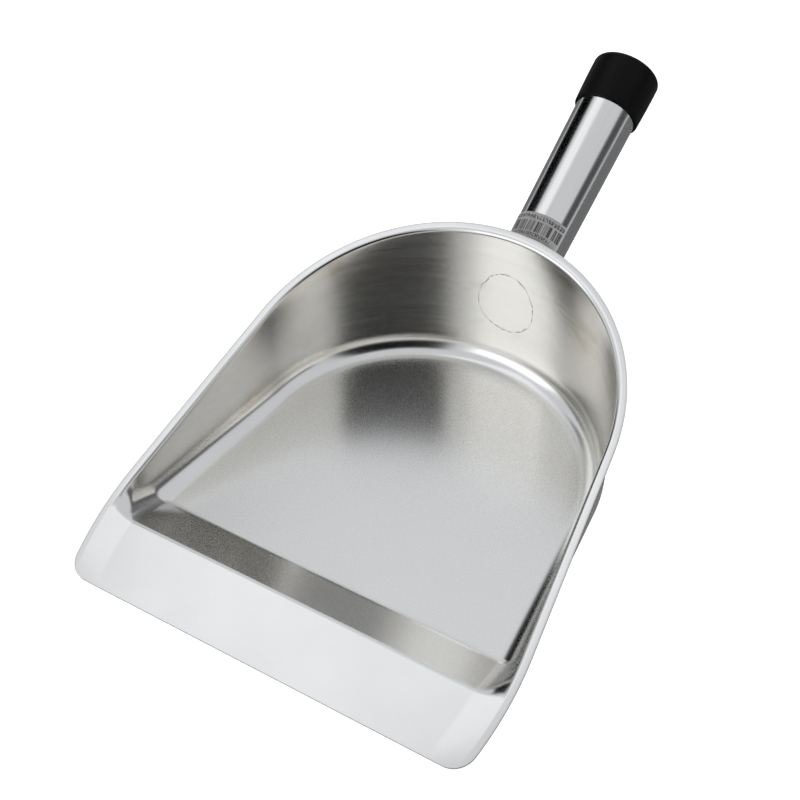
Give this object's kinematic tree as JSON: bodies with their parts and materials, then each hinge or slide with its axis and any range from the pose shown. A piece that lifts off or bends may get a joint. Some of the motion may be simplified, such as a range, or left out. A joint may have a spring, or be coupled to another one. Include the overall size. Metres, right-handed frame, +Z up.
{
  "type": "ice scoop",
  "caption": "Flat-bottomed stainless steel scoop for ice: a pressed pan with a sloping rim and a wide pouring lip, on a slightly tapered tube handle with a black end cap.",
  "frame": {"origin": "on the flat underside of the pan, on the centre line, 130 mm behind the lip's front edge", "axes": "+X across the pan to the right as the user pushes it, +Y from the pouring lip towards the handle, +Z up from the table"},
  "size_m": [0.2094, 0.3604, 0.122],
  "materials": {
    "pressed_steel": "satin pressed stainless sheet, brighter on the bends and the rim",
    "tube_steel": "polished stainless tube",
    "weld_steel": "ground weld bead",
    "black_plastic": "soft black moulded plastic",
    "label_paper": "pale printed paper label with plain bars"
  },
  "bodies": {
    "root": {"scoop_pan": "pressed_steel", "handle_tube": "tube_steel", "handle_weld": "weld_steel", "end_cap": "black_plastic", "price_label": "label_paper"}
  },
  "joints": []
}
